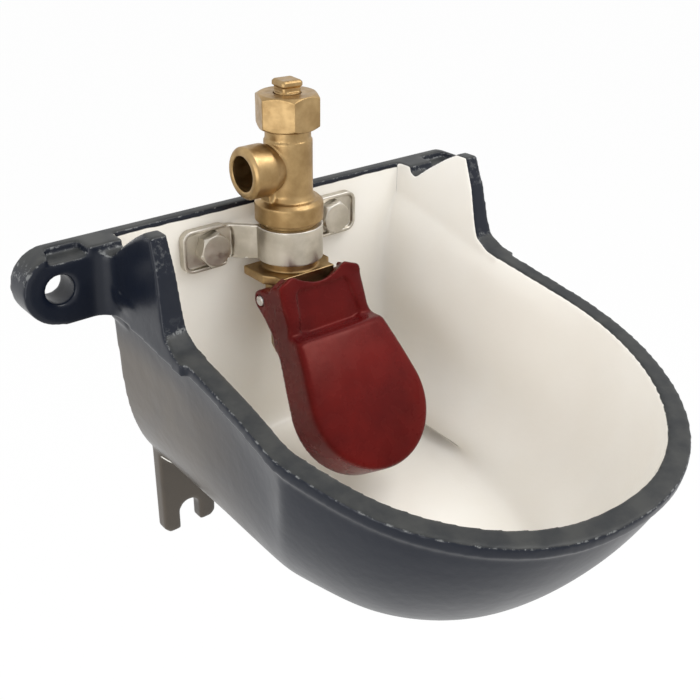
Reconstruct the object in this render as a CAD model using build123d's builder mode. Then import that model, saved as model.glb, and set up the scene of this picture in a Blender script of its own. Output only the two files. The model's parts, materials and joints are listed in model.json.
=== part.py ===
from build123d import *
import math
import os

# Livestock drinking bowl: an enamelled cast-iron bowl hung on a wall, a brass
# pipe valve held in a saddle by a strap, and a hinged tongue that the animal
# pushes to tilt the valve stem. Millimetres. The origin is midway between the
# two upper wall holes on the wall face: X right, Y into the wall, Z up.

os.makedirs("parts", exist_ok=True)

# ---- driving dimensions: bowl casting ----
hole_pitch = 196.0
lug_radius = 13.8
lug_thickness = 13.8
lug_hole_diameter = 11.5
lug_ledge_depth = 3.2
lug_strip_width = 5.0
lug_blend_radius = 7.0
ledge_corner_front = 4.0
ledge_corner_back = 1.0
bar_overlap = 2.0
plate_thickness = 5.5
rim_half_width = 82.5
side_half_width = 72.0
side_flare = 7.0
side_flare_power = 10
side_roundness = 5
rim_front_reach = 201.6
rim_round_reach = 95.9
rim_roundness = 2.165
rim_drop = 9.9
rim_level_reach = 60.0
rim_slope = 10.3
rim_width = 7.2
rim_band_height = 5.0
rim_clear = 3.0
rim_band_stand_out = 0.7
bowl_depth = 103.0
bowl_taper = 5.3
bowl_shift = 12.4
width_fullness = 2.6
width_roundness = 0.394
reach_fullness = 1.38
reach_roundness = 0.292
side_fullness = 0.4545
side_share = 0.25
outline_steps = 12
floor_half_width = 30.0
cheek_lean = 3.0
cheek_height = 26.3
cheek_reach = 71.0
cheek_below = 6.0
cheek_above = 4.0
saddle_notch_height = 9.8
fork_offset = 47.8
fork_width = 26.4
fork_thickness = 6.5
fork_slot_width = 10.0
fork_slot_top = 120.3
fork_drop = 134.0
fork_root = 80.0
fork_corner = 2.6

# ---- driving dimensions: valve ----
valve_reach = 19.9
neck_radius = 9.8
thread_radius = 9.2
collar_radius = 14.05
collar_top = 16.8
collar_bottom = 7.9
collar_chamfer = 1.6
neck_flare = 1.2
neck_flare_height = 2.4
neck_shoulder = 4.0
neck_shoulder_taper = 0.6
clamped_radius = 11.6
body_top = 51.0
flange_top = -12.3
flange_thickness = 3.7
flange_half_width = 17.0
flange_front = 29.5
flange_back = 10.5
flange_corner_depth = 5.0
flange_corner_width = 4.0
boss_radius = 10.5
boss_bottom = -30.0
bore_radius = 6.5
stem_channel_radius = 3.7
inlet_height = 30.4
inlet_reach = 22.2
inlet_thread_radius = 20.955 / 2
inlet_thread_length = 10.0
inlet_chamfer = 1.3
inlet_neck_radius = 7.6
inlet_sink = 4.0
web_sink = 2.0
web_foot_sink = 0.5
web_setback = 2.5
web_half_thickness = 3.2
inlet_bore_radius = 7.0
packing_bottom = 45.0
packing_bore_radius = 7.2
packing_top = 50.0
nut_across_flats = 23.0
nut_bottom = 45.3
nut_top = 59.0
nut_cap = 4.6
nut_turn = 7.0
nut_crown_inset = 0.3
nut_crown_height = 1.3
spindle_radius = 5.2
spindle_square = 8.2
spindle_turn = -5.0
spindle_top = 64.2
spindle_thread_bottom = 34.0
spindle_thread_top = 41.0
spindle_thread_lead = 2.0
spindle_foot_radius = 4.8
spindle_foot_height = 1.5
spindle_foot_taper = 1.5
spindle_waist_radius = 3.2
spindle_stand = 0.6
spindle_square_chamfer = 0.8
spindle_taper = 0.4
ring_groove = 3.2
ring_groove_land = 0.8
ring_section = 1.3
regulator_disc_radius = 5.2
regulator_disc_thickness = 2.0
regulator_screw_radius = 1.6
regulator_screw_length = 7.0
regulator_screw_hole = 7.5
regulator_head_radius = 3.0
regulator_head_height = 1.2
regulator_head_chamfer = 0.6
orifice_height = 13.5
orifice_thickness = 3.0
orifice_radius = 4.0
regulator_lift = 2.5
seat_height = -12.0
seat_thickness = 2.5
seat_hole_radius = 3.4
seat_lip_height = 0.8
seat_lip_foot = 1.4
seat_lip_width = 1.0
disc_radius = 5.6
disc_thickness = 2.5
disc_head_thickness = 1.5
stem_radius = 1.8
stem_bottom = -64.0
stem_spigot_radius = 2.6
stem_spigot_height = 2.5
stem_end_chamfer = 0.6
spring_washer_thickness = 0.8
spring_wire = 1.1
spring_radius = 4.4
spring_turns = 5
nozzle_radius = 8.0
nozzle_bore_radius = 6.6
nozzle_bottom = -57.0
nozzle_hex_top = -45.0
nozzle_hex_flats = 15.6
nozzle_seal_thickness = 1.0
nozzle_collar_step = 1.0
nozzle_collar_height = 3.0
nozzle_thread_radius = 7.6
nozzle_thread_length = 5.0

# ---- driving dimensions: tongue and its hinge ----
pin_reach = 27.0
pin_drop = 21.5
pin_radius = 2.25
knuckle_radius = 5.4
knuckle_half_width = 13.6
tongue_lean = 36.45
tongue_front_reach = 51.7
tongue_front_drop = 22.0
tongue_half_width = 18.0
tongue_top = 13.0
tongue_top_dip = 5.0
top_dip_overrun = 4.0
tongue_wall = 3.6
tongue_skirt = 16.0
lobe_radius = 27.0
lobe_centre = 39.2
lobe_dome = 4.2
lobe_edge_radius = 3.2
neck_edge_radius = 1.6
lobe_start_angle = 18.0
dome_radius = 220.0
groove_length = 22.0
groove_width = 2.0
panel_depth = 1.2
panel_height = 11.0
panel_margin = 4.5
panel_corner = 2.0
panel_drop = 1.5
cavity_top = 4.0
ear_gap = 14.0
cavity_drop = 9.0
ear_front_radius = 4.5
ear_drop = 12.0
finger_flat = 9.0
finger_top = 59.2
finger_bottom = 62.4
finger_root_top = 25.0
finger_root_bottom = 56.0
pin_stand_out = 0.5
pin_end_land = 0.1
neck_end = -2.0
step_position = 7.0
ear_radius = 4.4
finger_thickness = 5.0
finger_heel_length = 13.5
finger_heel_drop = 2.0

# ---- driving dimensions: clamp ----
clamp_centre = -1.7
strap_thickness = 2.2
ear_height = 18.2
ear_reach = 44.0
ear_lip = 1.5
ear_lip_width = 1.5
ear_corner = 4.5
shoulder_start = 22.0
shoulder_x = 13.3
shoulder_y = 16.0
shoulder_overlap = 4.0
shoulder_inset = 0.4
bend_inset_x = 0.69
bend_inset_y = 0.72
strap_cut = 10.0
band_top = 6.0
band_bottom = -8.5
screw_turn = 12.0
screw_head_chamfer = 1.1
screw_end_gap = 0.5
screw_offset = 30.85
screw_radius = 4.0
screw_head_flats = 13.0
screw_head_height = 5.3
screw_hole_radius = 4.4
saddle_back_half_width = 19.5
saddle_front_half_width = 11.0
saddle_reach = 13.6
saddle_height = 14.0

# ---- clearances, the reach of a cut past what it cuts, and how near counts as on a line ----
running = 0.05
gap = 0.3
thread_gap = 0.05
ring_gap = 0.1
spring_gap = 0.02
spare = 1.0
near = 0.1

# ---- places that follow from the sizes above ----
lug_x = hole_pitch / 2
rim_round_centre = rim_front_reach - rim_round_reach
slope = math.tan(math.radians(rim_slope))
strap_radius = clamped_radius + running + strap_thickness
pin_y = -pin_reach
finger_tip = -valve_reach - stem_radius - gap
pin_z = -pin_drop
axis_y = -valve_reach
nozzle_top = boss_bottom - nozzle_seal_thickness
nozzle_collar_radius = boss_radius - nozzle_collar_step
regulator_bottom = orifice_height + orifice_thickness + regulator_lift
regulator_top = regulator_bottom + regulator_disc_thickness
head_top = seat_height + disc_thickness + disc_head_thickness
valve_plane = Plane((0, axis_y, 0), x_dir=(1, 0, 0), z_dir=(0, -1, 0))
valve_axis = Axis((0, axis_y, 0), (0, 0, 1))
lean = math.radians(tongue_lean)
tongue_origin = (0, -tongue_front_reach, -tongue_front_drop)
tongue_plane = Plane(tongue_origin, x_dir=(1, 0, 0), z_dir=(0, -math.cos(lean), math.sin(lean)))
tongue_side = Plane(tongue_origin, x_dir=(0, math.cos(lean), -math.sin(lean)), z_dir=(1, 0, 0))


def outline(plane, points):
    """Closed polygon on a plane."""
    with BuildSketch(plane) as sketch:
        with BuildLine():
            Polyline(*points, close=True)
        make_face()
    return sketch.sketch


def tube(inner, outer, bottom, top):
    """Section of a ring round the valve axis."""
    return outline(valve_plane, ((inner, bottom), (outer, bottom), (outer, top), (inner, top)))


def at_height(height):
    """Horizontal plane centred on the valve axis."""
    return Plane((0, axis_y, height))


cheek_profile = (
    (0, -lug_radius),
    (0, lug_radius),
    (-9, lug_radius),
    (-17, saddle_notch_height),
    (-26, 16.5),
    (-36, 23.0),
    (-42, cheek_height),
    (-48, cheek_height),
    (-52.5, 14.0),
    (-55.5, 0.0),
    (-57.5, -6.5),
    (-64, -rim_drop - 0.7),
    (-70, -rim_drop - 1.9),
    (-70, -rim_drop - rim_band_height - 1.9),
)


# ---- bowl casting ----
def rim_frame(depth):
    """Plane of the bowl's section at a depth from 0 (rim) to 1 (floor)."""
    tilt = slope * (1 - max(depth, 0))
    return Plane(
        origin=(0, -rim_level_reach, -rim_drop - bowl_depth * depth),
        x_dir=(1, 0, 0),
        z_dir=(0, -tilt, 1),
    )


def bowl_outline(depth, wall, back):
    """D-shaped section: straight back and sides, round front."""
    inside = max(depth, 0)
    stretch = math.hypot(1, slope * (1 - inside))
    width = (1 - inside ** width_fullness) ** width_roundness
    width = (rim_half_width - bowl_taper * inside) * width - wall
    reach = rim_round_reach * (1 - inside ** reach_fullness) ** reach_roundness - wall
    side = side_half_width + side_flare * (1 - inside) ** side_flare_power
    side = side * (1 - inside ** side_roundness) ** side_fullness - wall
    width = max(width, floor_half_width - wall)
    side = max(side, floor_half_width - wall)
    centre = -rim_round_centre + bowl_shift * inside
    points = [(side + (width - side) * side_share, 0)]
    for step in range(1, outline_steps):
        turn = math.pi * step / outline_steps
        x = width * math.copysign(abs(math.cos(turn)) ** (2 / rim_roundness), math.cos(turn))
        y = centre - reach * math.sin(turn) ** (2 / rim_roundness)
        points.append((x, (y + rim_level_reach) * stretch))
    points.append((-points[0][0], 0))
    start = (side, (rim_level_reach - back) * stretch)
    end = (-side, (rim_level_reach - back) * stretch)
    with BuildSketch(rim_frame(depth)) as section:
        with BuildLine():
            Line(end, start)
            Line(start, points[0])
            Spline(*points, tangents=((0, -1), (0, 1)))
            Line(points[-1], end)
        make_face()
    return section.sketch


outer_levels = (0, 0.06, 0.14, 0.26, 0.44, 0.64, 0.82, 0.93)
inner_levels = (-0.05, 0.0, 0.06, 0.14, 0.26, 0.44, 0.64, 0.82, 0.88)
cheek_inner = side_half_width + side_flare - rim_width
side_outer = side_half_width + side_flare

with BuildPart() as bowl_casting:
    # bowl, with a band round its rim
    loft([bowl_outline(depth, 0, 0) for depth in outer_levels])
    extrude(bowl_outline(0, -rim_band_stand_out, plate_thickness / 2), amount=-rim_band_height)
    # wall bar across the back with a lug at each end, blended into the bowl's sides
    with BuildSketch(Plane.XZ) as bar:
        Rectangle(
            2 * (side_half_width + bar_overlap),
            lug_radius + lug_blend_radius + bar_overlap,
            align=(Align.CENTER, Align.MAX),
        )
        Rectangle(2 * lug_x, 2 * lug_radius)
        with Locations((-lug_x, 0), (lug_x, 0)):
            Circle(lug_radius)
        corners = bar.vertices().filter_by(lambda v: abs(v.Y + lug_radius) < near and abs(v.X) < lug_x - near)
        fillet(corners, lug_blend_radius)
    extrude(amount=lug_thickness)
    # forked lower lugs
    for side in (-1, 1):
        with BuildSketch(Plane.XZ) as fork:
            with Locations((side * fork_offset, -fork_root)):
                Rectangle(fork_width, fork_drop - fork_root, align=(Align.CENTER, Align.MAX))
            chamfer(fork.vertices().group_by(Axis.Y)[0], fork_corner)
            with Locations((side * fork_offset, -fork_slot_top - fork_slot_width / 2)):
                Circle(fork_slot_width / 2, mode=Mode.SUBTRACT)
                Rectangle(
                    fork_slot_width,
                    fork_drop,
                    align=(Align.CENTER, Align.MAX),
                    mode=Mode.SUBTRACT,
                )
        extrude(amount=fork_thickness)
    # hollow of the bowl, and the room above it in front of the wall plate
    loft([bowl_outline(depth, rim_width, plate_thickness) for depth in inner_levels], mode=Mode.SUBTRACT)
    with BuildSketch(Plane.XY.offset(rim_clear)):
        with Locations((0, -plate_thickness)):
            Rectangle(2 * cheek_inner, rim_level_reach, align=(Align.CENTER, Align.MAX))
    extrude(amount=lug_radius, mode=Mode.SUBTRACT)
    # raised cheeks beside the valve, leaning inwards from the rim and blended into the lugs
    for side in (-1, 1):
        with BuildPart(mode=Mode.PRIVATE) as cheek:
            for height in (-lug_radius - cheek_below, cheek_height + cheek_above):
                shift = cheek_lean * (height + rim_drop) / (cheek_height + rim_drop)
                with BuildSketch(Plane.XY.offset(height)) as section:
                    with BuildLine():
                        Polyline(
                            (side * cheek_inner, -cheek_reach),
                            (side * (rim_half_width - shift), -cheek_reach),
                            (side * (side_outer - shift / 2), -lug_thickness),
                            (side * lug_x, -lug_thickness),
                            (side * lug_x, 0),
                            (side * cheek_inner, 0),
                            close=True,
                        )
                    make_face()
                    blend = section.vertices().filter_by(
                        lambda v: abs(v.Y + lug_thickness) < near and abs(v.X) < lug_x - near
                    )
                    fillet(blend, lug_blend_radius)
            loft(ruled=True)
            extrude(outline(Plane.YZ, cheek_profile), amount=lug_x + spare, both=True, mode=Mode.INTERSECT)
        add(cheek)
    # saddle block that backs the valve
    with BuildSketch(Plane.XY.offset(clamp_centre - saddle_height / 2)):
        with BuildLine():
            Polyline(
                (-saddle_back_half_width, 0),
                (-saddle_back_half_width, -plate_thickness),
                (-saddle_front_half_width, -saddle_reach),
                (saddle_front_half_width, -saddle_reach),
                (saddle_back_half_width, -plate_thickness),
                (saddle_back_half_width, 0),
                close=True,
            )
        make_face()
        with Locations((0, axis_y)):
            Circle(clamped_radius + running, mode=Mode.SUBTRACT)
    extrude(amount=saddle_height)
    # hollowed ledge on the top of each lug
    for side in (-1, 1):
        with BuildSketch(Plane.XY.offset(lug_radius - lug_ledge_depth)):
            with BuildLine():
                Polyline(
                    (side * (lug_x + ledge_corner_front), -lug_thickness - spare),
                    (side * (lug_x + ledge_corner_back), -lug_strip_width),
                    (side * (side_outer + lug_blend_radius), -lug_strip_width),
                    (side * (side_outer + lug_blend_radius), -lug_thickness - spare),
                    close=True,
                )
            make_face()
        extrude(amount=lug_ledge_depth + spare, mode=Mode.SUBTRACT)
    # wall holes in the lugs, and the two tapped holes for the clamp screws
    with Locations(*[Plane((side * lug_x, 0, 0), z_dir=(0, 1, 0)) for side in (-1, 1)]):
        Hole(lug_hole_diameter / 2)
    with Locations(*[Plane((side * screw_offset, 0, clamp_centre), z_dir=(0, 1, 0)) for side in (-1, 1)]):
        Hole(screw_radius + thread_gap)
bowl_casting.part.label = "bowl_casting"
export_step(bowl_casting.part, "parts/bowl_casting.step")


# ---- valve body ----
with BuildPart() as valve_body:
    revolve(
        outline(
            valve_plane,
            (
                (0, boss_bottom),
                (boss_radius, boss_bottom),
                (boss_radius, flange_top),
                (clamped_radius, flange_top),
                (clamped_radius, collar_bottom),
                (collar_radius, collar_bottom),
                (collar_radius, collar_top - collar_chamfer),
                (collar_radius - collar_chamfer, collar_top),
                (neck_radius + neck_flare, collar_top),
                (neck_radius, collar_top + neck_flare_height),
                (neck_radius, packing_bottom - neck_shoulder),
                (thread_radius, packing_bottom - neck_shoulder - neck_shoulder_taper),
                (thread_radius, body_top),
                (0, body_top),
            ),
        ),
        axis=valve_axis,
    )
    # inlet branch: a short pipe thread and a cone down to the neck
    with BuildSketch(Plane((-inlet_reach, axis_y, inlet_height), z_dir=(1, 0, 0))):
        Circle(inlet_thread_radius)
    extrude(amount=inlet_thread_length)
    chamfer(valve_body.faces().sort_by(Axis.X)[0].edges(), inlet_chamfer)
    with BuildSketch(Plane((-inlet_reach + inlet_thread_length, axis_y, inlet_height), z_dir=(1, 0, 0))):
        Circle(inlet_thread_radius)
    with BuildSketch(Plane((-neck_radius + inlet_sink, axis_y, inlet_height), z_dir=(1, 0, 0))):
        Circle(inlet_neck_radius)
    loft(ruled=True)
    # web under the inlet, down to the collar
    with BuildSketch(valve_plane):
        with BuildLine():
            Polyline(
                (-inlet_reach + inlet_thread_length, inlet_height),
                (-neck_radius + web_sink, inlet_height),
                (-neck_radius + web_sink, collar_top - web_foot_sink),
                (-collar_radius + web_setback, collar_top - web_foot_sink),
                close=True,
            )
        make_face()
    extrude(amount=web_half_thickness, both=True)
    # flange above the hinge, and the knuckle that carries the tongue's pin
    with BuildSketch(Plane.XY.offset(flange_top)):
        with BuildLine():
            Polyline(
                (-flange_half_width, -flange_back),
                (-flange_half_width, -flange_front + flange_corner_depth),
                (-flange_half_width + flange_corner_width, -flange_front),
                (flange_half_width - flange_corner_width, -flange_front),
                (flange_half_width, -flange_front + flange_corner_depth),
                (flange_half_width, -flange_back),
                close=True,
            )
        make_face()
    extrude(amount=-flange_thickness)
    with BuildSketch(Plane.YZ):
        with Locations((pin_y, pin_z)):
            Circle(knuckle_radius)
            Rectangle(2 * knuckle_radius, flange_top - pin_z, align=(Align.CENTER, Align.MIN))
    extrude(amount=knuckle_half_width, both=True)
    # bores: chamber, packing seat, stem channel, nozzle thread, inlet and pin hole
    revolve(
        outline(
            valve_plane,
            (
                (0, boss_bottom - spare),
                (nozzle_thread_radius + thread_gap, boss_bottom - spare),
                (nozzle_thread_radius + thread_gap, boss_bottom + nozzle_thread_length + gap),
                (stem_channel_radius, boss_bottom + nozzle_thread_length + gap),
                (stem_channel_radius, seat_height - seat_thickness),
                (bore_radius, seat_height - seat_thickness),
                (bore_radius, packing_bottom),
                (packing_bore_radius, packing_bottom),
                (packing_bore_radius, body_top + spare),
                (0, body_top + spare),
            ),
        ),
        axis=valve_axis,
        mode=Mode.SUBTRACT,
    )
    with BuildSketch(Plane((-inlet_reach, axis_y, inlet_height), z_dir=(1, 0, 0))):
        Circle(inlet_bore_radius)
    extrude(amount=inlet_reach, mode=Mode.SUBTRACT)
    with BuildSketch(Plane.YZ):
        with Locations((pin_y, pin_z)):
            Circle(pin_radius + running)
    extrude(amount=flange_half_width + spare, both=True, mode=Mode.SUBTRACT)
valve_body.part.label = "valve_body"
export_step(valve_body.part, "parts/valve_body.step")


# ---- gland: nut, follower and packing ----
nut_corner = nut_across_flats / 2 / math.cos(math.radians(30))
with BuildPart() as gland_nut:
    with BuildSketch(at_height(nut_bottom)):
        RegularPolygon(nut_corner, 6, rotation=nut_turn)
        Circle(thread_radius + thread_gap, mode=Mode.SUBTRACT)
    extrude(amount=nut_top - nut_cap - nut_bottom)
    with BuildSketch(at_height(nut_top - nut_cap)):
        RegularPolygon(nut_corner, 6, rotation=nut_turn)
        Circle(spindle_radius + gap, mode=Mode.SUBTRACT)
    extrude(amount=nut_cap)
    # corners turned off at both ends
    revolve(
        outline(
            valve_plane,
            (
                (0, nut_bottom),
                (nut_across_flats / 2 - nut_crown_inset, nut_bottom),
                (nut_corner, nut_bottom + nut_crown_height),
                (nut_corner, nut_top - nut_crown_height),
                (nut_across_flats / 2 - nut_crown_inset, nut_top),
                (0, nut_top),
            ),
        ),
        axis=valve_axis,
        mode=Mode.INTERSECT,
    )
gland_nut.part.label = "gland_nut"
export_step(gland_nut.part, "parts/gland_nut.step")

with BuildPart() as gland_packing:
    ring = tube(spindle_radius + running, packing_bore_radius - running, packing_bottom, packing_top)
    revolve(ring, axis=valve_axis)
gland_packing.part.label = "gland_packing"
export_step(gland_packing.part, "parts/gland_packing.step")

with BuildPart() as gland_follower:
    ring = tube(spindle_radius + gap, packing_bore_radius - running, packing_top, nut_top - nut_cap)
    revolve(ring, axis=valve_axis)
gland_follower.part.label = "gland_follower"
export_step(gland_follower.part, "parts/gland_follower.step")


# ---- flow spindle, its ring seal and the regulating disc ----
with BuildPart() as flow_spindle:
    revolve(
        outline(
            valve_plane,
            (
                (0, regulator_bottom + regulator_screw_hole),
                (regulator_screw_radius + thread_gap, regulator_bottom + regulator_screw_hole),
                (regulator_screw_radius + thread_gap, regulator_top),
                (spindle_foot_radius, regulator_top),
                (spindle_foot_radius, regulator_top + spindle_foot_height),
                (spindle_waist_radius, regulator_top + spindle_foot_height + spindle_foot_taper),
                (spindle_waist_radius, spindle_thread_bottom - spindle_thread_lead),
                (bore_radius - running, spindle_thread_bottom),
                (bore_radius - running, spindle_thread_top - ring_groove),
                (spindle_waist_radius, spindle_thread_top - ring_groove),
                (spindle_waist_radius, spindle_thread_top),
                (bore_radius - running, spindle_thread_top),
                (bore_radius - running, spindle_thread_top + ring_groove_land),
                (spindle_radius, spindle_thread_top + ring_groove_land + spindle_taper),
                (spindle_radius, nut_top + spindle_stand),
                (0, nut_top + spindle_stand),
            ),
        ),
        axis=valve_axis,
    )
    with BuildSketch(at_height(nut_top + spindle_stand)):
        Rectangle(spindle_square, spindle_square, rotation=spindle_turn)
        Circle(spindle_radius, mode=Mode.INTERSECT)
    extrude(amount=spindle_top - nut_top - spindle_stand)
    chamfer(flow_spindle.faces().sort_by(Axis.Z)[-1].edges(), spindle_square_chamfer)
flow_spindle.part.label = "flow_spindle"
export_step(flow_spindle.part, "parts/flow_spindle.step")

with BuildPart() as spindle_ring_seal:
    with BuildSketch(valve_plane):
        with Locations((bore_radius - ring_section - ring_gap, spindle_thread_top - ring_groove / 2)):
            RegularPolygon(ring_section, 8)
    revolve(axis=valve_axis)
spindle_ring_seal.part.label = "spindle_ring_seal"
export_step(spindle_ring_seal.part, "parts/spindle_ring_seal.step")

with BuildPart() as regulator_disc:
    ring = tube(regulator_screw_radius + running, regulator_disc_radius, regulator_bottom, regulator_top)
    revolve(ring, axis=valve_axis)
regulator_disc.part.label = "regulator_disc"
export_step(regulator_disc.part, "parts/regulator_disc.step")

with BuildPart() as regulator_screw:
    revolve(
        outline(
            valve_plane,
            (
                (0, regulator_bottom - regulator_head_height),
                (regulator_head_radius - regulator_head_chamfer, regulator_bottom - regulator_head_height),
                (regulator_head_radius, regulator_bottom - regulator_head_height + regulator_head_chamfer),
                (regulator_head_radius, regulator_bottom),
                (regulator_screw_radius, regulator_bottom),
                (regulator_screw_radius, regulator_bottom + regulator_screw_length),
                (0, regulator_bottom + regulator_screw_length),
            ),
        ),
        axis=valve_axis,
    )
regulator_screw.part.label = "regulator_screw"
export_step(regulator_screw.part, "parts/regulator_screw.step")

with BuildPart() as orifice_ring:
    ring = tube(orifice_radius, bore_radius - running, orifice_height, orifice_height + orifice_thickness)
    revolve(ring, axis=valve_axis)
orifice_ring.part.label = "orifice_ring"
export_step(orifice_ring.part, "parts/orifice_ring.step")


# ---- outlet valve: seat, stem, disc, spring and nozzle ----
with BuildPart() as valve_seat:
    revolve(
        outline(
            valve_plane,
            (
                (seat_hole_radius, seat_height - seat_thickness),
                (bore_radius - running, seat_height - seat_thickness),
                (bore_radius - running, seat_height - seat_lip_height),
                (seat_hole_radius + seat_lip_foot, seat_height - seat_lip_height),
                (seat_hole_radius + seat_lip_width, seat_height),
                (seat_hole_radius, seat_height),
            ),
        ),
        axis=valve_axis,
    )
valve_seat.part.label = "valve_seat"
export_step(valve_seat.part, "parts/valve_seat.step")

with BuildPart() as valve_stem:
    revolve(
        outline(
            valve_plane,
            (
                (0, stem_bottom),
                (stem_radius - stem_end_chamfer, stem_bottom),
                (stem_radius, stem_bottom + stem_end_chamfer),
                (stem_radius, seat_height + disc_thickness),
                (disc_radius - gap, seat_height + disc_thickness),
                (disc_radius - gap, head_top),
                (stem_spigot_radius, head_top),
                (stem_spigot_radius, head_top + stem_spigot_height),
                (0, head_top + stem_spigot_height),
            ),
        ),
        axis=valve_axis,
    )
valve_stem.part.label = "valve_stem"
export_step(valve_stem.part, "parts/valve_stem.step")

with BuildPart() as disc_seal:
    ring = tube(stem_radius + running, disc_radius, seat_height, seat_height + disc_thickness)
    revolve(ring, axis=valve_axis)
disc_seal.part.label = "disc_seal"
export_step(disc_seal.part, "parts/disc_seal.step")

with BuildPart() as spring_washer:
    ring = tube(stem_spigot_radius + running, disc_radius - gap, head_top, head_top + spring_washer_thickness)
    revolve(ring, axis=valve_axis)
spring_washer.part.label = "spring_washer"
export_step(spring_washer.part, "parts/spring_washer.step")

spring_bottom = head_top + spring_washer_thickness + spring_wire / 2 + spring_gap
spring_height = orifice_height - spring_gap - spring_wire / 2 - spring_bottom
with BuildPart() as valve_spring:
    with BuildLine():
        coil = Helix(
            pitch=spring_height / spring_turns,
            height=spring_height,
            radius=spring_radius,
            center=(0, axis_y, spring_bottom),
        )
    with BuildSketch(Plane(coil @ 0, z_dir=coil % 0)):
        RegularPolygon(spring_wire / 2, 6)
    sweep(path=coil, is_frenet=True)
valve_spring.part.label = "valve_spring"
export_step(valve_spring.part, "parts/valve_spring.step")

with BuildPart() as nozzle_seal:
    revolve(tube(nozzle_thread_radius + gap, nozzle_collar_radius, nozzle_top, boss_bottom), axis=valve_axis)
nozzle_seal.part.label = "nozzle_seal"
export_step(nozzle_seal.part, "parts/nozzle_seal.step")

with BuildPart() as outlet_nozzle:
    for radius, bottom, top in (
        (nozzle_thread_radius, nozzle_top, boss_bottom + nozzle_thread_length),
        (nozzle_collar_radius, nozzle_top - nozzle_collar_height, nozzle_top),
        (nozzle_radius, nozzle_hex_top, nozzle_top - nozzle_collar_height),
    ):
        revolve(tube(nozzle_bore_radius, radius, bottom, top), axis=valve_axis)
    with BuildSketch(at_height(nozzle_hex_top)):
        RegularPolygon(nozzle_hex_flats / 2 / math.cos(math.radians(30)), 6, rotation=nut_turn)
        Circle(nozzle_bore_radius, mode=Mode.SUBTRACT)
    extrude(amount=nozzle_bottom - nozzle_hex_top)
outlet_nozzle.part.label = "outlet_nozzle"
export_step(outlet_nozzle.part, "parts/outlet_nozzle.step")


# ---- tongue: a hollow enamelled paddle with two ears and a finger ----
pin_behind = (pin_y + tongue_front_reach) * math.cos(lean) - (pin_z + tongue_front_drop) * math.sin(lean)
pin_above = (pin_y + tongue_front_reach) * math.sin(lean) + (pin_z + tongue_front_drop) * math.cos(lean)
front_axis = Axis((0, 0, 0), tuple(tongue_plane.z_dir))


def paddle(inset, top, offset):
    """Front outline of the tongue: a straight neck flaring into a round lobe."""
    half = tongue_half_width - inset
    lobe = lobe_radius - inset
    start = math.radians(lobe_start_angle)
    side = (lobe * math.cos(start), -lobe_centre + lobe * math.sin(start))
    heading = (math.sin(start), -math.cos(start))
    with BuildSketch(tongue_plane.offset(offset)) as sketch:
        with BuildLine():
            Line((-half, top), (half, top))
            Line((half, top), (half, neck_end))
            Spline((half, neck_end), side, tangents=((0, -1), heading))
            ThreePointArc(side, (0, -lobe_centre - lobe), (-side[0], side[1]))
            Spline((-side[0], side[1]), (-half, neck_end), tangents=((heading[0], -heading[1]), (0, 1)))
            Line((-half, neck_end), (-half, top))
        make_face()
    return sketch.sketch


def on_tongue(behind, above):
    """(y, z) of a point given behind the tongue's front plane and above its origin."""
    return (
        -tongue_front_reach + behind * math.cos(lean) + above * math.sin(lean),
        -tongue_front_drop - behind * math.sin(lean) + above * math.cos(lean),
    )


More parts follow.
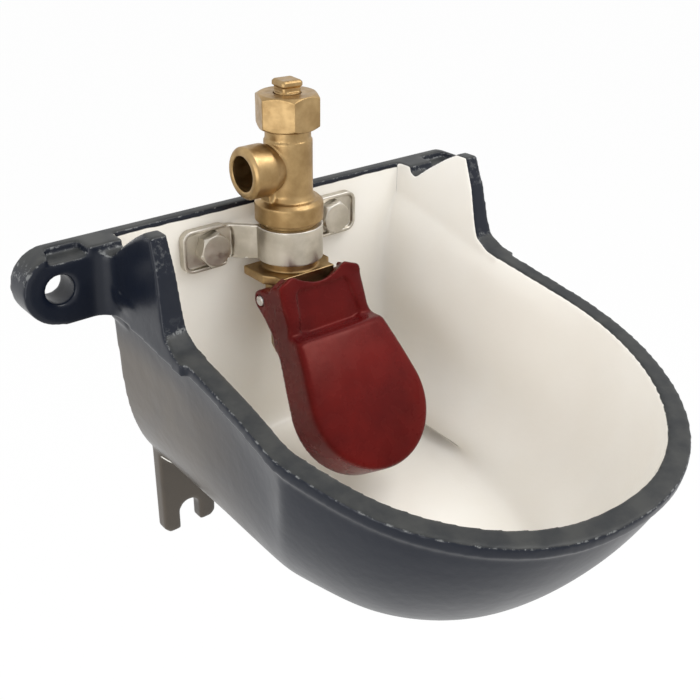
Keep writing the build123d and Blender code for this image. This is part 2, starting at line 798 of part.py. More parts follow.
with BuildPart() as tongue:
    # neck and skirt
    extrude(paddle(0, tongue_top, 0), amount=-tongue_skirt)
    fillet(tongue.faces().sort_by(front_axis)[-1].edges(), neck_edge_radius)
    # rounded lobe face standing above the neck
    with BuildPart(mode=Mode.PRIVATE) as lobe:
        extrude(paddle(0, tongue_top, lobe_dome), amount=-2 * lobe_dome)
        with BuildSketch(tongue_plane.offset(-2 * lobe_dome)):
            with Locations((0, -step_position)):
                Rectangle(3 * lobe_radius, 3 * lobe_radius, align=(Align.CENTER, Align.MIN))
        extrude(amount=4 * lobe_dome, mode=Mode.SUBTRACT)
        fillet(lobe.faces().sort_by(front_axis)[-1].edges(), lobe_edge_radius)
        with Locations(tongue_plane * Location((0, -lobe_centre, lobe_dome - dome_radius))):
            Sphere(dome_radius, mode=Mode.INTERSECT)
    add(lobe)
    # recessed panel and the groove under it
    with BuildSketch(tongue_plane.offset(-panel_depth)):
        with Locations((0, (tongue_top - step_position) / 2 - panel_drop)):
            RectangleRounded(2 * (tongue_half_width - panel_margin), panel_height, panel_corner)
    extrude(amount=2 * panel_depth, mode=Mode.SUBTRACT)
    with BuildSketch(tongue_plane.offset(-panel_depth)):
        with Locations((0, -step_position + groove_width)):
            SlotOverall(groove_length, groove_width)
    extrude(amount=2 * panel_depth, mode=Mode.SUBTRACT)
    # hollow back
    extrude(paddle(tongue_wall, cavity_top, -tongue_wall), amount=-tongue_skirt, mode=Mode.SUBTRACT)
    # dipped top edge
    dip_radius = (ear_gap ** 2 + tongue_top_dip ** 2) / (2 * tongue_top_dip)
    with BuildSketch(tongue_plane.offset(spare)):
        with Locations((0, tongue_top - tongue_top_dip + dip_radius)):
            Circle(dip_radius)
    extrude(amount=-tongue_skirt - top_dip_overrun, mode=Mode.SUBTRACT)
    # room for the knuckle between the ears
    with BuildSketch(tongue_side):
        with Locations((pin_behind - knuckle_radius - gap, cavity_top - cavity_drop)):
            Rectangle(2 * tongue_skirt, 3 * tongue_skirt, align=(Align.MIN, Align.MIN))
    extrude(amount=ear_gap, both=True, mode=Mode.SUBTRACT)
    # ears round the pin
    for side in (-1, 1):
        with BuildSketch(tongue_side.offset(side * ear_gap)):
            with Locations((pin_behind, pin_above)):
                Circle(ear_radius)
            with Locations((ear_front_radius, tongue_top - ear_front_radius)):
                Circle(ear_front_radius)
            with Locations((tongue_skirt - ear_radius, -ear_drop)):
                Circle(ear_radius)
            make_hull()
        extrude(amount=side * (tongue_half_width - ear_gap))
    # finger that reaches back to the valve stem
    with BuildSketch(Plane.YZ):
        with BuildLine():
            Polyline(
                (finger_tip, -finger_top),
                (finger_tip - finger_flat, -finger_top),
                on_tongue(tongue_wall / 2, -finger_root_top),
                on_tongue(tongue_wall / 2, -finger_root_bottom),
                (finger_tip - finger_heel_length, -finger_bottom - finger_heel_drop),
                (finger_tip, -finger_bottom),
                close=True,
            )
        make_face()
    extrude(amount=finger_thickness / 2, both=True)
    with BuildSketch(Plane.YZ):
        with Locations((pin_y, pin_z)):
            Circle(pin_radius + running)
    extrude(amount=tongue_half_width + spare, both=True, mode=Mode.SUBTRACT)
tongue.part.label = "tongue"
export_step(tongue.part, "parts/tongue.step")


with BuildPart() as tongue_pin:
    with BuildSketch(Plane.YZ):
        with Locations((pin_y, pin_z)):
            Circle(pin_radius)
    extrude(amount=tongue_half_width + pin_stand_out, both=True)
    chamfer(tongue_pin.edges().filter_by(GeomType.CIRCLE), pin_stand_out - pin_end_land)
tongue_pin.part.label = "tongue_pin"
export_step(tongue_pin.part, "parts/tongue_pin.step")


# ---- clamp: strap round the valve and its two screws ----
strap_back = -plate_thickness
strap_front = strap_back - strap_thickness
inner_shoulder = shoulder_start - strap_thickness * shoulder_inset
inner_bend_x = shoulder_x - strap_thickness * bend_inset_x
inner_bend_y = shoulder_y - strap_thickness * bend_inset_y
with BuildPart() as clamp_strap:
    with BuildSketch(Plane.XY.offset(band_bottom)):
        with BuildLine():
            Polyline(
                (-shoulder_start - shoulder_overlap, strap_back),
                (-shoulder_start - shoulder_overlap, strap_front),
                (-shoulder_start, strap_front),
                (-shoulder_x, -shoulder_y),
                (shoulder_x, -shoulder_y),
                (shoulder_start, strap_front),
                (shoulder_start + shoulder_overlap, strap_front),
                (shoulder_start + shoulder_overlap, strap_back),
                close=True,
            )
        make_face()
        with Locations((0, axis_y)):
            Circle(strap_radius)
        with BuildLine():
            Polyline(
                (-inner_shoulder, strap_back + strap_cut),
                (-inner_shoulder, strap_back),
                (-inner_bend_x, -inner_bend_y),
                (inner_bend_x, -inner_bend_y),
                (inner_shoulder, strap_back),
                (inner_shoulder, strap_back + strap_cut),
                close=True,
            )
        make_face(mode=Mode.SUBTRACT)
        with Locations((0, axis_y)):
            Circle(clamped_radius + running, mode=Mode.SUBTRACT)
        with Locations((0, -shoulder_y)):
            Rectangle(2 * clamped_radius, strap_radius, align=(Align.CENTER, Align.MIN), mode=Mode.SUBTRACT)
    extrude(amount=band_top - band_bottom)
    # ears with a raised lip, recessed round each screw
    for side in (-1, 1):
        ear_middle = side * (shoulder_start + ear_reach) / 2
        ear_width = ear_reach - shoulder_start
        with BuildSketch(Plane.XZ.offset(-strap_back)):
            with Locations((ear_middle, clamp_centre)):
                RectangleRounded(ear_width, ear_height, ear_corner)
        extrude(amount=strap_thickness + ear_lip)
        with BuildSketch(Plane.XZ.offset(-strap_front)):
            with Locations((ear_middle - side * ear_lip_width, clamp_centre)):
                RectangleRounded(ear_width, ear_height - 2 * ear_lip_width, ear_corner - ear_lip_width)
        extrude(amount=2 * ear_lip, mode=Mode.SUBTRACT)
    with Locations(*[Plane((side * screw_offset, 0, clamp_centre), z_dir=(0, 1, 0)) for side in (-1, 1)]):
        Hole(screw_hole_radius)
clamp_strap.part.label = "clamp_strap"
export_step(clamp_strap.part, "parts/clamp_strap.step")

screw_corner = screw_head_flats / 2 / math.cos(math.radians(30))
with BuildPart() as clamp_screws:
    for side in (-1, 1):
        screw_place = (side * screw_offset, strap_front, clamp_centre)
        screw_plane = Plane(screw_place, x_dir=(1, 0, 0), z_dir=(0, -1, 0))
        with BuildPart(mode=Mode.PRIVATE) as head:
            with BuildSketch(screw_plane):
                Circle(screw_corner)
            extrude(amount=screw_head_height)
            chamfer(head.faces().sort_by(Axis.Y)[0].edges(), screw_head_chamfer)
            with BuildSketch(screw_plane):
                RegularPolygon(screw_corner, 6, rotation=screw_turn)
            extrude(amount=screw_head_height, mode=Mode.INTERSECT)
        add(head)
        with BuildSketch(screw_plane):
            Circle(screw_radius)
        extrude(amount=strap_front + screw_end_gap)
clamp_screws.part.label = "clamp_screws"
export_step(clamp_screws.part, "parts/clamp_screws.step")
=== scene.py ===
import bpy
import json
import math
import numpy as np
from mathutils import Matrix, Vector


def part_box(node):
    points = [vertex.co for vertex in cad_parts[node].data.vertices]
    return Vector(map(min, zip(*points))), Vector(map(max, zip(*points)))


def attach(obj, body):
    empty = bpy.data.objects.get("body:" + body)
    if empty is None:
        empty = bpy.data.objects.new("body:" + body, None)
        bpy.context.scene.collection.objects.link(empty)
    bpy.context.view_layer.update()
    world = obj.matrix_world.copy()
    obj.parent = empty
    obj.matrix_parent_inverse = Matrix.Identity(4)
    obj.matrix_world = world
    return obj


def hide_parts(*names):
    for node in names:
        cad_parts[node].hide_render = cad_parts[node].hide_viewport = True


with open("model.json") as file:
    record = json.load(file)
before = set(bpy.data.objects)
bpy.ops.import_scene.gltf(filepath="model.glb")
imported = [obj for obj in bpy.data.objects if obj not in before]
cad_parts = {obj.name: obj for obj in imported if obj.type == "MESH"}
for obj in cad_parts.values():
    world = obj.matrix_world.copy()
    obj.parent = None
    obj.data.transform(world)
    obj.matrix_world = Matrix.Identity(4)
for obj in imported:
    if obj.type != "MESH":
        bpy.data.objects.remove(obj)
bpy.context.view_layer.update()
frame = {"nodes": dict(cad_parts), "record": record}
scene = bpy.context.scene
MM = 0.001

# ---- the casting's levels and limits, in metres, that its colours and corners follow ----
bar_top = 13.8 * MM
rim_level_y = -60.0 * MM
rim_level_z = -9.9 * MM
rim_slope = math.tan(math.radians(10.3))
bowl_depth = 103.0 * MM
wall_zone_y = -12.0 * MM
floor_under_z = -104.2 * MM
side_half_width = 72.0 * MM
side_roundness, side_fullness = 5, 0.4545
plate_zone_y = -20.0 * MM
plate_half_width = 71.0 * MM
cheek_middle_x = 75.6 * MM
cheek_outer_x = cheek_middle_x + 4 * MM
white_top_z = bar_top - 2.2 * MM
# where the lower outside turns warm grey-brown: a dust film and a painted sheen
dust_and_sheen_from_y, dust_and_sheen_to_y = -120.0 * MM, -35.0 * MM
bowl_centre = (0.0, -90.0 * MM, -20.0 * MM)

# ---- camera ----
yaw, pitch, roll = 0.690, 0.489, 0.015
camera_place = (-0.231624, -0.340962, 0.156853)
forward = Vector((math.sin(yaw) * math.cos(pitch), math.cos(yaw) * math.cos(pitch), -math.sin(pitch)))
right = Vector((math.cos(yaw), -math.sin(yaw), 0))
up = right.cross(forward)
camera_right = right * math.cos(roll) + up * math.sin(roll)
camera_up = up * math.cos(roll) - right * math.sin(roll)
camera_data = bpy.data.cameras.new("camera")
camera_data.lens = 52.59
camera_data.sensor_width = 36
camera_data.clip_start = 0.01
camera = bpy.data.objects.new("camera", camera_data)
scene.collection.objects.link(camera)
turn = Matrix((camera_right, camera_up, -forward)).transposed().to_4x4()
camera.matrix_world = Matrix.Translation(camera_place) @ turn
scene.camera = camera


# ---- node helpers ----
class Look:
    """A material under construction, with short calls for its nodes."""

    def __init__(self, name):
        self.material = bpy.data.materials.new(name)
        self.material.use_nodes = True
        self.tree = self.material.node_tree
        self.shader = self.tree.nodes["Principled BSDF"]
        coordinates = self.tree.nodes.new("ShaderNodeTexCoord")
        self.place = coordinates.outputs["Object"]

    def put(self, value, socket):
        if isinstance(value, bpy.types.NodeSocket):
            self.tree.links.new(value, socket)
        elif isinstance(value, tuple) and len(value) == 3 and len(socket.default_value) == 4:
            socket.default_value = (*value, 1.0)
        else:
            socket.default_value = value

    def math(self, operation, a, b=0.0, c=0.0, clamp=False):
        node = self.tree.nodes.new("ShaderNodeMath")
        node.operation = operation
        node.use_clamp = clamp
        for value, socket in zip((a, b, c), node.inputs):
            self.put(value, socket)
        return node.outputs[0]

    def vector(self, operation, a, b=(0.0, 0.0, 0.0)):
        node = self.tree.nodes.new("ShaderNodeVectorMath")
        node.operation = operation
        self.put(a, node.inputs[0])
        if operation != "NORMALIZE":
            self.put(b, node.inputs[1])
        return node.outputs["Value"] if operation == "DOT_PRODUCT" else node.outputs["Vector"]

    def parts(self, vector):
        node = self.tree.nodes.new("ShaderNodeSeparateXYZ")
        self.put(vector, node.inputs[0])
        return node.outputs

    def noise(self, scale, detail=4.0, roughness=0.55, stretch=(1.0, 1.0, 1.0)):
        stretched = self.vector("MULTIPLY", self.place, stretch)
        node = self.tree.nodes.new("ShaderNodeTexNoise")
        node.inputs["Scale"].default_value = scale
        node.inputs["Detail"].default_value = detail
        node.inputs["Roughness"].default_value = roughness
        self.tree.links.new(stretched, node.inputs["Vector"])
        return node.outputs["Fac"]

    def spread(self, value, low, high, to_low=0.0, to_high=1.0):
        node = self.tree.nodes.new("ShaderNodeMapRange")
        node.interpolation_type = "SMOOTHSTEP"
        for number, socket in zip((value, low, high, to_low, to_high), node.inputs):
            self.put(number, socket)
        return node.outputs["Result"]

    def mix(self, factor, a, b):
        node = self.tree.nodes.new("ShaderNodeMix")
        node.data_type = "RGBA"
        self.put(factor, node.inputs["Factor"])
        self.put(a, node.inputs["A"])
        self.put(b, node.inputs["B"])
        return node.outputs["Result"]

    def blend(self, factor, a, b):
        node = self.tree.nodes.new("ShaderNodeMix")
        node.data_type = "FLOAT"
        self.put(factor, node.inputs[0])
        self.put(a, node.inputs[2])
        self.put(b, node.inputs[3])
        return node.outputs[0]

    def normal(self):
        node = self.tree.nodes.new("ShaderNodeNewGeometry")
        return node.outputs["Normal"]

    def edge(self, low, high):
        node = self.tree.nodes.new("ShaderNodeNewGeometry")
        return self.spread(node.outputs["Pointiness"], low, high)

    def bump(self, height, strength, distance):
        node = self.tree.nodes.new("ShaderNodeBump")
        node.inputs["Strength"].default_value = strength
        node.inputs["Distance"].default_value = distance
        self.tree.links.new(height, node.inputs["Height"])
        self.tree.links.new(node.outputs["Normal"], self.shader.inputs["Normal"])

    def set(self, **values):
        for name, value in values.items():
            self.put(value, self.shader.inputs[name.replace("_", " ")])


def enamelled_iron():
    """White enamel inside, black-blue enamel outside, bare grey wear on the rim and the bar's top."""
    look = Look("enamelled_iron")
    x, y, z = look.parts(look.place)
    nx, ny, nz = look.parts(look.normal())
    waver = look.math("MULTIPLY", look.math("SUBTRACT", look.noise(70, 2.0), 0.5), 3.0 * MM)

    # height above the sloping rim plane, and distance from the middle plane
    rim_z = look.math("MULTIPLY_ADD", look.math("SUBTRACT", y, rim_level_y), rim_slope, rim_level_z)
    over_rim = look.math("SUBTRACT", z, rim_z)
    aside = look.math("ABSOLUTE", x)

    # surfaces of the hollow below the rim face the middle of the bowl
    inward = look.vector("NORMALIZE", look.vector("SUBTRACT", bowl_centre, look.place))
    facing = look.vector("DOT_PRODUCT", look.normal(), inward)
    hollow = look.spread(facing, 0.04, 0.12)
    wavy_rim = look.math("ADD", over_rim, look.math("MULTIPLY", waver, 0.3))
    below = look.spread(wavy_rim, -1.1 * MM, -0.7 * MM, 1, 0)
    depth = look.math("DIVIDE", look.math("SUBTRACT", rim_level_z, z), bowl_depth, clamp=True)
    narrowing = look.math("SUBTRACT", 1.0, look.math("POWER", depth, side_roundness))
    hollow_side = look.math("MULTIPLY", look.math("POWER", narrowing, side_fullness), side_half_width)
    beside_wall = look.math("GREATER_THAN", y, wall_zone_y)
    outside_wall = look.math("MULTIPLY", beside_wall, look.math("GREATER_THAN", aside, hollow_side))
    within_wall = look.math("SUBTRACT", 1.0, outside_wall)
    hollow = look.math("MULTIPLY", look.math("MULTIPLY", hollow, below), within_wall)
    hollow = look.math("MULTIPLY", hollow, look.math("LESS_THAN", aside, cheek_outer_x))
    hollow = look.math("MULTIPLY", hollow, look.math("GREATER_THAN", z, floor_under_z))

    # above the rim: the wall plate with the saddle, and the inner faces of the cheeks
    near_plate = look.math("GREATER_THAN", y, plate_zone_y)
    between = look.math("LESS_THAN", aside, plate_half_width)
    under_band = look.spread(look.math("ADD", z, look.math("MULTIPLY", waver, 0.5)),
                             white_top_z - 0.2 * MM, white_top_z + 0.2 * MM, 1, 0)
    plate = look.math("MULTIPLY", look.math("MULTIPLY", near_plate, between), under_band)
    to_wall = look.spread(ny, 0.3, 0.6)
    plate = look.math("MULTIPLY", plate, look.math("SUBTRACT", 1.0, to_wall))
    turned_in = look.spread(look.math("MULTIPLY", nx, look.math("SIGN", x)), -0.75, -0.6, 1, 0)
    inner_cheek = look.math("MULTIPLY", turned_in, look.math("LESS_THAN", aside, cheek_middle_x))
    over = look.math("GREATER_THAN", over_rim, -1.2 * MM)
    upper = look.math("MULTIPLY", look.math("MAXIMUM", plate, inner_cheek), over)
    inside = look.math("MAXIMUM", hollow, upper, clamp=True)  # 1 where the enamel is white

    # the rim's top and the bar's top, worn to grey and painted lighter as a reflection of the bright space
    # above
    up_facing = look.spread(nz, 0.45, 0.8)
    level_top = look.math("MAXIMUM",
                          look.spread(over_rim, -1.4 * MM, -0.8 * MM),
                          look.spread(z, bar_top - 1.5 * MM, bar_top - 0.5 * MM))
    top = look.math("MULTIPLY", up_facing, level_top)
    # a light broken line along the tops' edges: chipped enamel, with a painted highlight along that edge
    edge_line = look.math("MULTIPLY", look.spread(nz, 0.25, 0.5), look.spread(nz, 0.6, 0.85, 1, 0))
    flakes = look.spread(look.noise(420, 5.0, 0.7), 0.5, 0.62)
    chips_and_painted_edge_highlight = look.math("MULTIPLY", look.math("MULTIPLY", edge_line, level_top), flakes)

    cloud = look.noise(28, 4.0)
    fine = look.noise(900, 3.0)
    navy = look.mix(look.spread(cloud, 0.35, 0.7), (0.003, 0.0055, 0.013), (0.007, 0.0095, 0.017))
    # grey of the tops: worn enamel, painted lighter as a reflection of light from above
    worn = look.spread(look.noise(90, 5.0), 0.3, 0.7)
    worn_grey_and_painted_reflection = look.mix(worn, (0.016, 0.018, 0.020), (0.040, 0.041, 0.039))
    white = look.mix(look.spread(look.noise(14, 3.0), 0.3, 0.75), (0.88, 0.845, 0.775), (0.92, 0.90, 0.85))
    # a warm grey-brown tint on the lower outside, towards the wall: partly a dust film, partly a painted
    # sheen of reflected light
    dust_and_sheen = look.spread(y, dust_and_sheen_from_y, dust_and_sheen_to_y)
    dust_and_sheen = look.math("MULTIPLY", dust_and_sheen, look.spread(cloud, 0.25, 0.6, 0.55, 1))
    dust_and_sheen = look.math("MULTIPLY", dust_and_sheen, look.spread(z, rim_level_z - 8 * MM, rim_level_z - 30 * MM))
    dust_and_sheen = look.math("MULTIPLY", dust_and_sheen, look.math("SUBTRACT", 1.0, to_wall))
    dark = look.mix(look.math("MULTIPLY", dust_and_sheen, 0.85), navy, (0.092, 0.076, 0.058))
    # painted reflection on the up-facing tops, then chipped enamel with a painted highlight along their
    # edges
    dark = look.mix(top, dark, worn_grey_and_painted_reflection)
    dark = look.mix(chips_and_painted_edge_highlight, dark, (0.16, 0.165, 0.165))
    look.set(
        Base_Color=look.mix(inside, dark, white),
        Roughness=look.blend(inside, look.blend(top, look.spread(cloud, 0.2, 0.8, 0.26, 0.36), 0.46),
                             look.spread(fine, 0.2, 0.8, 0.16, 0.24)),
    )
    look.shader.inputs["Specular IOR Level"].default_value = 0.3
    broad_peel = look.math("MULTIPLY", look.noise(70, 2.0), 1.4)
    orange_peel = look.math("MULTIPLY_ADD", look.noise(240, 2.0), 0.6, broad_peel)
    relief = look.math("MULTIPLY_ADD", chips_and_painted_edge_highlight, 0.5, orange_peel)
    look.bump(relief, 0.35, 0.3 * MM)
    return look.material


def brass():
    """Satin cast brass, with painted shade in the recesses and brighter edges that are partly rubbed brass
    and partly painted highlight.
    """
    look = Look("brass")
    cloud = look.noise(120, 5.0)
    tone = look.mix(look.spread(cloud, 0.3, 0.72), (0.31, 0.20, 0.088), (0.46, 0.315, 0.15))
    # painted highlight on the convex edges, partly rubbed brass
    tone = look.mix(look.edge(0.53, 0.58), tone, (0.66, 0.49, 0.27))
    # painted shade in the concave recesses
    tone = look.mix(look.edge(0.40, 0.485), (0.17, 0.09, 0.035), tone)
    look.set(
        Base_Color=tone,
        Roughness=look.spread(look.noise(300, 4.0), 0.3, 0.7, 0.32, 0.48),
    )
    look.shader.inputs["Metallic"].default_value = 1.0
    look.bump(look.noise(1400, 4.0), 0.12, 0.1 * MM)
    return look.material


def zinc_steel():
    """Dull warm zinc plate, with painted highlights on its edges and painted shade in its creases."""
    look = Look("zinc_steel")
    cloud = look.noise(90, 5.0)
    tone = look.mix(look.spread(cloud, 0.3, 0.7), (0.46, 0.425, 0.36), (0.64, 0.60, 0.53))
    # painted highlight along the convex edges
    tone = look.mix(look.edge(0.52, 0.57), tone, (0.78, 0.76, 0.72))
    # painted shade in the creases
    tone = look.mix(look.edge(0.42, 0.49), (0.16, 0.14, 0.11), tone)
    look.set(
        Base_Color=tone,
        Roughness=look.spread(look.noise(260, 4.0), 0.3, 0.7, 0.30, 0.46),
    )
    look.shader.inputs["Metallic"].default_value = 1.0
    look.bump(look.noise(1100, 4.0), 0.15, 0.1 * MM)
    return look.material


def stainless():
    """Turned stainless steel."""
    look = Look("stainless")
    rings = look.noise(500, 2.0, stretch=(0.15, 0.15, 4.0))
    look.set(
        Base_Color=look.mix(look.spread(rings, 0.3, 0.7), (0.50, 0.49, 0.47), (0.66, 0.65, 0.63)),
        Roughness=look.spread(rings, 0.3, 0.7, 0.24, 0.36),
    )
    look.shader.inputs["Metallic"].default_value = 1.0
    look.bump(rings, 0.08, 0.05 * MM)
    return look.material


def red_enamel():
    """Deep red glossy enamel, with painted highlights on its ridges and painted shade in the recesses,
    where the enamel also pools.
    """
    look = Look("red_enamel")
    cloud = look.noise(36, 3.0)
    tone = look.mix(look.spread(cloud, 0.3, 0.75), (0.062, 0.0022, 0.0030), (0.108, 0.0048, 0.0046))
    # painted highlight on the ridges
    tone = look.mix(look.edge(0.53, 0.60), tone, (0.20, 0.020, 0.016))
    # painted shade in the recesses, where the enamel also pools darker
    tone = look.mix(look.edge(0.40, 0.48), (0.035, 0.0015, 0.003), tone)
    look.set(
        Base_Color=tone,
        Roughness=look.spread(look.noise(150, 3.0), 0.3, 0.7, 0.22, 0.32),
    )
    look.shader.inputs["Specular IOR Level"].default_value = 0.3
    look.shader.inputs["Specular Tint"].default_value = (1.0, 0.32, 0.26, 1.0)
    look.bump(look.math("ADD", look.noise(130, 2.0), look.noise(45, 2.0)), 0.3, 0.3 * MM)
    return look.material


def rubber():
    """Matt black rubber."""
    look = Look("rubber")
    grain = look.noise(900, 4.0)
    look.set(
        Base_Color=look.mix(grain, (0.012, 0.012, 0.012), (0.03, 0.03, 0.03)),
        Roughness=look.spread(grain, 0.3, 0.7, 0.55, 0.75),
    )
    look.bump(grain, 0.2, 0.05 * MM)
    return look.material


def fibre():
    """Reddish sealing fibre."""
    look = Look("fibre")
    grain = look.noise(1200, 5.0)
    look.set(
        Base_Color=look.mix(grain, (0.18, 0.05, 0.03), (0.34, 0.12, 0.08)),
        Roughness=look.spread(grain, 0.3, 0.7, 0.7, 0.9),
    )
    look.bump(grain, 0.3, 0.08 * MM)
    return look.material


makers = (enamelled_iron, brass, zinc_steel, stainless, red_enamel, rubber, fibre)
looks = {make.__name__: make() for make in makers}
for subpart in frame["record"]["subparts"]:
    node = frame["nodes"][subpart["node"]]
    if not node.material_slots:
        node.data.materials.append(None)
    for material_slot in node.material_slots:
        material_slot.link = "OBJECT"
        material_slot.material = looks[subpart["material_slot"]]


# ---- pieces finished with the soft edges that casting, tumbling and enamel leave ----
def smooth_step(low, high, value):
    """0 below low, 1 above high, smooth between; low may be the larger."""
    share = np.clip((value - low) / (high - low), 0, 1)
    return share * share * (3 - 2 * share)


def applied(piece):
    """Bake the piece's modifiers into its mesh."""
    depsgraph = bpy.context.evaluated_depsgraph_get()
    mesh = bpy.data.meshes.new_from_object(piece.evaluated_get(depsgraph))
    piece.modifiers.clear()
    piece.data = mesh


def smoothed(piece, rounds, group=""):
    """Relax the mesh, everywhere or by a vertex group's weights."""
    modifier = piece.modifiers.new("soft", "SMOOTH")
    modifier.factor = 0.5
    modifier.iterations = rounds
    modifier.vertex_group = group
    applied(piece)


def vectors(mesh, kind):
    """The vertices' places ("co") or normals ("normal"), one row each."""
    values = np.empty(len(mesh.vertices) * 3, dtype=np.float32)
    mesh.vertices.foreach_get(kind, values)
    return values.reshape(len(mesh.vertices), 3)


weight_levels = 10


def softened(node_name, body, voxel, rounds, reshape=None, pools=None, pool_rounds=60):
    """A node's mesh, remeshed evenly, reshaped where asked and smoothed at its edges."""
    source = frame["nodes"][node_name]
    piece = bpy.data.objects.new(node_name + "_finished", source.data.copy())
    scene.collection.objects.link(piece)
    remesh = piece.modifiers.new("even", "REMESH")
    remesh.mode = "VOXEL"
    remesh.voxel_size = voxel
    remesh.use_smooth_shade = True
    applied(piece)
    if reshape:
        points = reshape(vectors(piece.data, "co") / MM) * MM
        piece.data.vertices.foreach_set("co", points.ravel())
    if pools:
        weights = pools(vectors(piece.data, "co") / MM, vectors(piece.data, "normal"))
        group = piece.vertex_groups.new(name="pools")
        for level in range(1, weight_levels + 1):
            chosen = np.nonzero(np.round(weights * weight_levels) == level)[0]
            group.add([int(index) for index in chosen], level / weight_levels, "REPLACE")
        smoothed(piece, pool_rounds, "pools")
    smoothed(piece, rounds)
    slot = next(s["material_slot"] for s in frame["record"]["subparts"] if s["node"] == node_name)
    piece.data.materials.clear()
    piece.data.materials.append(looks[slot])
    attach(piece, body)
    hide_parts(node_name)


# ---- reshaping, in millimetres ----
def hollow_corners(points, normals):
    """Weights of the bowl's hollow, where the enamel pools in the corners."""
    x, y, z = points.T
    over_rim = z - (rim_level_z / MM + (y - rim_level_y / MM) * rim_slope)
    depth = np.clip((rim_level_z / MM - z) / (bowl_depth / MM), 0, 1)
    side = side_half_width / MM * (1 - depth ** side_roundness) ** side_fullness
    inward = np.array(bowl_centre) / MM - points
    inward /= np.linalg.norm(inward, axis=1)[:, None]
    facing = smooth_step(0.05, 0.25, np.sum(inward * normals, axis=1))
    return smooth_step(-6.0, -24.0, over_rim) * facing * (y < -3.0) * (np.abs(x) < side - 1.5)


# the tongue's own axes: behind is square to its front face, above runs up along it
tongue_lean = math.radians(36.45)
tongue_origin = np.array((0.0, -51.7, -22.0))
tongue_behind = np.array((0.0, math.cos(tongue_lean), -math.sin(tongue_lean)))
tongue_above = np.array((0.0, math.sin(tongue_lean), math.cos(tongue_lean)))
lip_rise = 6.0
ear_width = 2.4
corner_rounding, corner_from = 0.07, 11.0
recess_depth, recess_top, recess_bottom = 7.4, 16.0, -5.0
back_fill = 3.0
finger_half_width, finger_low, finger_high = 4.0, -58.0, -20.0
shoulder_flare, lobe_widening = 0.20, 0.03
lobe_centre, lobe_lengthening = -39.2, 0.03
square_from_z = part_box("gland_nut")[1][2] / MM + 2.8  # above the nut also with the spindle down
square_widening = 1.16
hexagon_from_z, hexagon_share = -45.0, 0.54


def tongue_shape(points):
    """Taller, wider ears and top lip, a neck set back under them, and a full round lobe."""
    local = points - tongue_origin
    aside = local[:, 0].copy()
    behind = local @ tongue_behind
    above = local @ tongue_above
    across = np.abs(aside)
    front = smooth_step(12.0, 7.0, behind)
    taller = lip_rise * smooth_step(1.0, 9.0, above) * front
    past_corner = np.clip(across - corner_from, 0, None)
    corner = corner_rounding * past_corner ** 2 * smooth_step(6.0, 12.0, above) * front
    neck = smooth_step(-8.5, -3.5, above)
    recess = (recess_top - np.clip(above, recess_bottom, recess_top)) / (recess_top - recess_bottom)
    finger = (across < finger_half_width) * (above > finger_low) * smooth_step(3.0, 6.0, behind)
    finger = finger * (above < finger_high)
    back = back_fill * smooth_step(8.0, -9.0, above) * (1 - finger * smooth_step(4.0, 14.0, behind))
    plate = smooth_step(15.0, 5.0, behind)
    flare = shoulder_flare * smooth_step(7.0, -6.0, above) * smooth_step(-34.0, -9.0, above)
    fuller = lobe_widening * smooth_step(-9.0, -30.0, above)
    ears = ear_width * smooth_step(15.5, 18.0, across) * smooth_step(-2.0, 6.0, above)
    behind = behind + back + (recess_depth * recess - back) * neck * plate
    aside = aside * (1 + (flare + fuller) * (1 - finger)) + np.sign(aside) * ears
    above = above + taller - corner
    above = above + lobe_lengthening * np.minimum(above - lobe_centre, 0.0)
    moved = tongue_origin + np.outer(behind, tongue_behind) + np.outer(above, tongue_above)
    moved[:, 0] += aside
    return moved


def lobe_front(points, normals):
    """Weights of the tongue's lobe, whose front edge is strongly rounded."""
    local = points - tongue_origin
    return smooth_step(9.0, 3.0, local @ tongue_behind) * smooth_step(2.0, -6.0, local @ tongue_above)


def pin_shape(points):
    """Pin as long as the wider ears."""
    moved = points.copy()
    moved[:, 0] *= 1 + ear_width / np.abs(points[:, 0]).max()
    return moved


def square_shape(points):
    """Fuller square on the spindle, above the nut."""
    moved = points.copy()
    over_nut = moved[:, 2] > square_from_z
    centre = points[over_nut].mean(axis=0)
    moved[over_nut, :2] = centre[:2] + (points[over_nut, :2] - centre[:2]) * square_widening
    return moved


def nozzle_shape(points):
    """Shorter hexagon at the nozzle's end."""
    moved = points.copy()
    z = moved[:, 2]
    moved[:, 2] = np.where(z < hexagon_from_z, hexagon_from_z + (z - hexagon_from_z) * hexagon_share, z)
    return moved


# node, body, voxel, rounds of smoothing
softened("bowl_casting", "bowl", 0.75 * MM, 12, pools=hollow_corners, pool_rounds=300)
softened("tongue", "tongue", 0.5 * MM, 12, reshape=tongue_shape, pools=lobe_front)
softened("tongue_pin", "tongue", 0.2 * MM, 2, reshape=pin_shape)
softened("valve_body", "bowl", 0.4 * MM, 4)
softened("gland_nut", "bowl", 0.25 * MM, 4)
softened("outlet_nozzle", "bowl", 0.3 * MM, 3, reshape=nozzle_shape)
softened("clamp_strap", "bowl", 0.3 * MM, 3)
softened("clamp_screws", "bowl", 0.25 * MM, 3)
softened("flow_spindle", "spindle", 0.25 * MM, 3, reshape=square_shape)


# ---- floor, world and lamps ----
floor_level = -0.65
floor_white_share, world_white_share = 0.9, 1.0
world_strength = 0.95
key_watts, left_watts = 8, 5


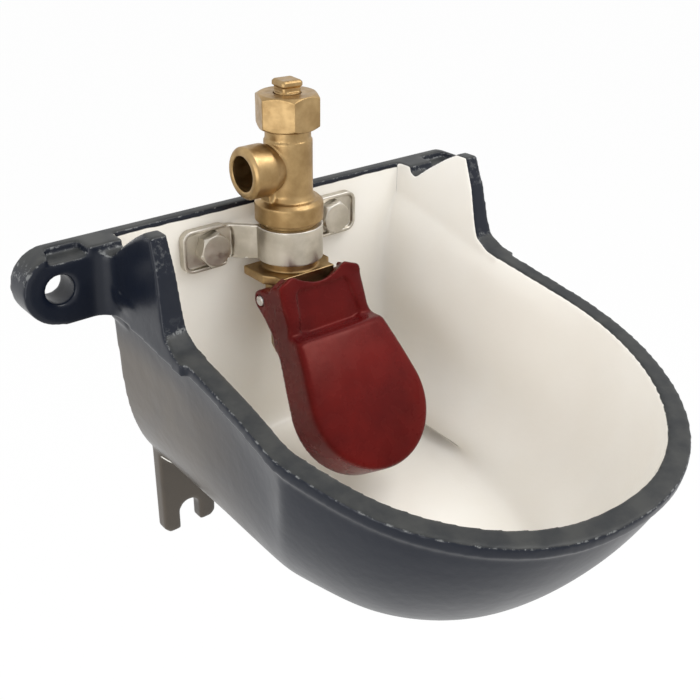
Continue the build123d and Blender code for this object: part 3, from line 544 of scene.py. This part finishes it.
def camera_white(tree, output, lit_shader, share):
    """Mix a lit shader with white for camera, glossy and transmission rays."""
    path = tree.nodes.new("ShaderNodeLightPath")
    seen = tree.nodes.new("ShaderNodeMath")
    seen.operation = "MAXIMUM"
    tree.links.new(path.outputs["Is Camera Ray"], seen.inputs[0])
    tree.links.new(path.outputs["Is Glossy Ray"], seen.inputs[1])
    through = tree.nodes.new("ShaderNodeMath")
    through.operation = "MAXIMUM"
    tree.links.new(seen.outputs[0], through.inputs[0])
    tree.links.new(path.outputs["Is Transmission Ray"], through.inputs[1])
    amount = tree.nodes.new("ShaderNodeMath")
    amount.operation = "MULTIPLY"
    amount.inputs[1].default_value = share
    tree.links.new(through.outputs[0], amount.inputs[0])
    white = tree.nodes.new("ShaderNodeBackground" if output == "World Output" else "ShaderNodeEmission")
    white.inputs["Color"].default_value = (1, 1, 1, 1)
    white.inputs["Strength"].default_value = 1.0
    mix = tree.nodes.new("ShaderNodeMixShader")
    tree.links.new(amount.outputs[0], mix.inputs[0])
    tree.links.new(lit_shader, mix.inputs[1])
    tree.links.new(white.outputs[0], mix.inputs[2])
    tree.links.new(mix.outputs[0], tree.nodes[output].inputs["Surface"])


bpy.ops.mesh.primitive_plane_add(size=9, location=(0, 0, floor_level))
floor = bpy.context.object
floor.name = "floor"
floor_material = bpy.data.materials.new("floor_white")
floor_material.use_nodes = True
floor_shader = floor_material.node_tree.nodes["Principled BSDF"]
floor_shader.inputs["Base Color"].default_value = (0.9, 0.9, 0.9, 1)
floor_shader.inputs["Roughness"].default_value = 0.9
camera_white(floor_material.node_tree, "Material Output", floor_shader.outputs[0], floor_white_share)
floor.data.materials.append(floor_material)

world = bpy.data.worlds.new("world")
scene.world = world
world.use_nodes = True
background = world.node_tree.nodes["Background"]
background.inputs["Color"].default_value = (1, 1, 1, 1)
background.inputs["Strength"].default_value = world_strength
camera_white(world.node_tree, "World Output", background.outputs[0], world_white_share)


def area_lamp(name, place, target, size, power):
    data = bpy.data.lights.new(name, "AREA")
    data.shape = "SQUARE"
    data.size = size
    data.energy = power
    lamp = bpy.data.objects.new(name, data)
    scene.collection.objects.link(lamp)
    lamp.location = place
    lamp.rotation_euler = (Vector(target) - Vector(place)).to_track_quat("-Z", "Y").to_euler()


area_lamp("key", (0.5, -0.6, 1.1), (0, -0.1, 0), 0.7, key_watts)
area_lamp("left", (-1.1, -0.5, 0.1), (0, -0.1, -0.05), 0.8, left_watts)

scene.view_settings.view_transform = "Standard"
